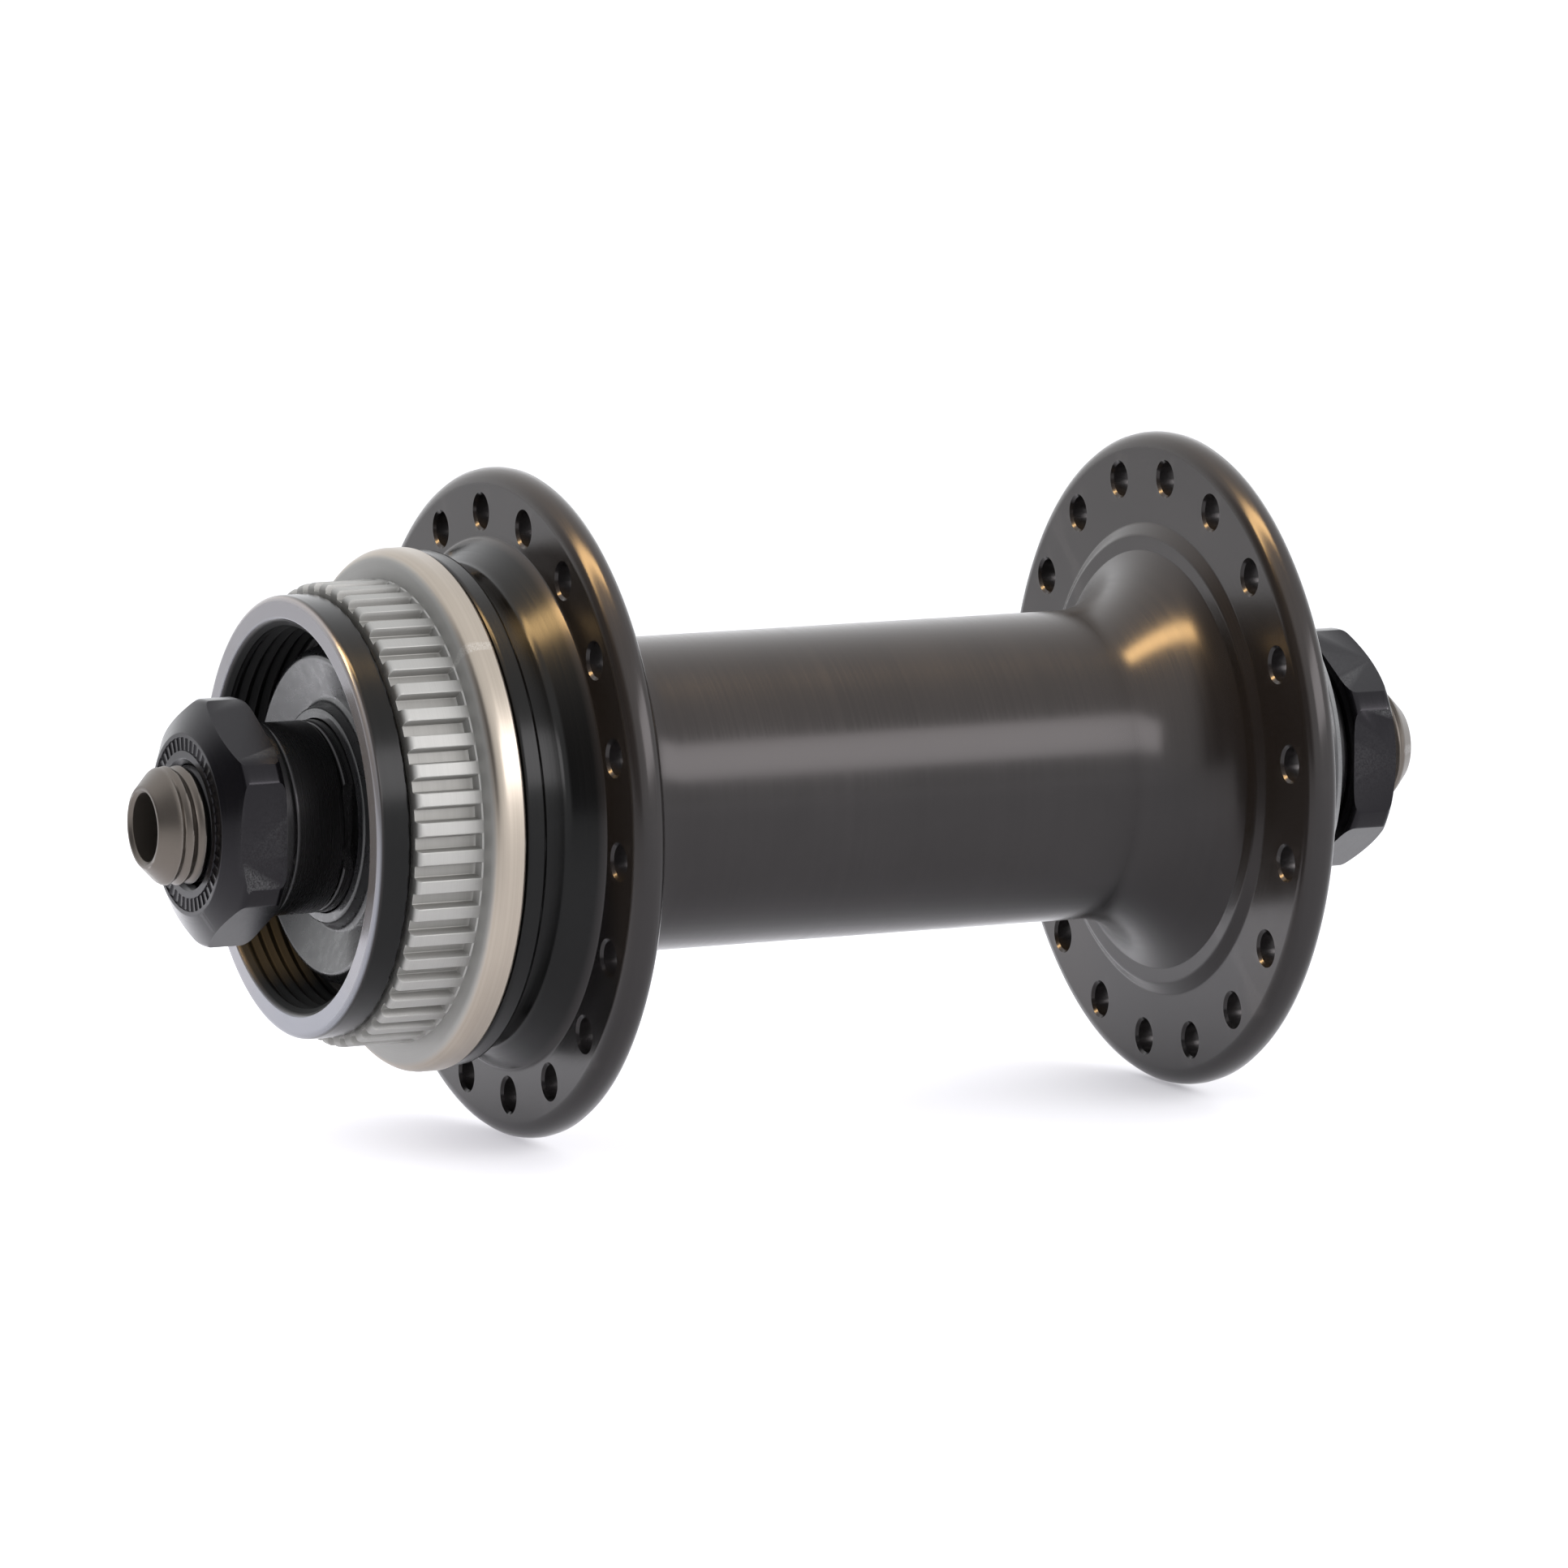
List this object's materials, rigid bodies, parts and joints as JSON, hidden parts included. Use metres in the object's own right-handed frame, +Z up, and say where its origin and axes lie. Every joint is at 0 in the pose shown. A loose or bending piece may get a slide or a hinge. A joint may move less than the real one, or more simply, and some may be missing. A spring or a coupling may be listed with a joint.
{
  "type": "bicycle front hub",
  "caption": "Front hub for a spoked bicycle wheel with a splined seat for a brake disc, loose-ball bearings and a hollow axle.",
  "frame": {"origin": "on the axle, midway between the two locknut faces", "axes": "+Y along the axle from the disc side to the plain side, +Z up, +X to the front"},
  "size_m": [0.0512, 0.107, 0.0512],
  "materials": {
    "shell_black": "black anodised, satin to gloss",
    "bare_aluminium": "bare machined aluminium, bright",
    "dark_steel": "black oxide steel, lightly oiled",
    "black_nut": "black zinc plated steel, semi-gloss",
    "bearing_steel": "ground and polished bearing steel",
    "pressed_cage": "pressed steel sheet, oiled",
    "dust_cap_black": "pressed steel, black plated",
    "seal_rubber": "moulded nitrile rubber, lightly greased",
    "sleeve_plastic": "moulded polythene, natural"
  },
  "bodies": {
    "axle_set": {"axle": "dark_steel", "spacer_left": "dark_steel", "cone_left": "dark_steel", "cone_seal_left": "seal_rubber", "lock_washer_left": "dark_steel", "locknut_left": "black_nut", "cone_right": "dark_steel", "cone_seal_right": "seal_rubber", "lock_washer_right": "dark_steel", "locknut_right": "black_nut"},
    "shell": {"hub_shell": "shell_black", "rotor_spline_ring": "bare_aluminium", "grease_sleeve": "sleeve_plastic", "bearing_cup_left": "bearing_steel", "dust_cap_left": "dust_cap_black", "bearing_cup_right": "bearing_steel", "dust_cap_right": "dust_cap_black"},
    "bearing_left": {"ball_cage_left": "pressed_cage", "ball_left_01": "bearing_steel", "ball_left_02": "bearing_steel", "ball_left_03": "bearing_steel", "ball_left_04": "bearing_steel", "ball_left_05": "bearing_steel", "ball_left_06": "bearing_steel", "ball_left_07": "bearing_steel", "ball_left_08": "bearing_steel", "ball_left_09": "bearing_steel", "ball_left_10": "bearing_steel"},
    "bearing_right": {"ball_cage_right": "pressed_cage", "ball_right_01": "bearing_steel", "ball_right_02": "bearing_steel", "ball_right_03": "bearing_steel", "ball_right_04": "bearing_steel", "ball_right_05": "bearing_steel", "ball_right_06": "bearing_steel", "ball_right_07": "bearing_steel", "ball_right_08": "bearing_steel", "ball_right_09": "bearing_steel", "ball_right_10": "bearing_steel"}
  },
  "joints": [
    {"name": "shell_spin", "type": "hinge", "parent": "axle_set", "child": "shell", "pos_m": [0, 0, 0], "axis": [0, 1, 0], "continuous": true},
    {"name": "cage_left_spin", "type": "hinge", "parent": "axle_set", "child": "bearing_left", "pos_m": [0, -0.032, 0], "axis": [0, 1, 0], "continuous": true},
    {"name": "cage_right_spin", "type": "hinge", "parent": "axle_set", "child": "bearing_right", "pos_m": [0, 0.0354, 0], "axis": [0, 1, 0], "continuous": true}
  ],
  "couplings": [
    {"joint": "cage_left_spin", "follows": "shell_spin", "ratio": 0.5896},
    {"joint": "cage_right_spin", "follows": "shell_spin", "ratio": 0.5896}
  ]
}
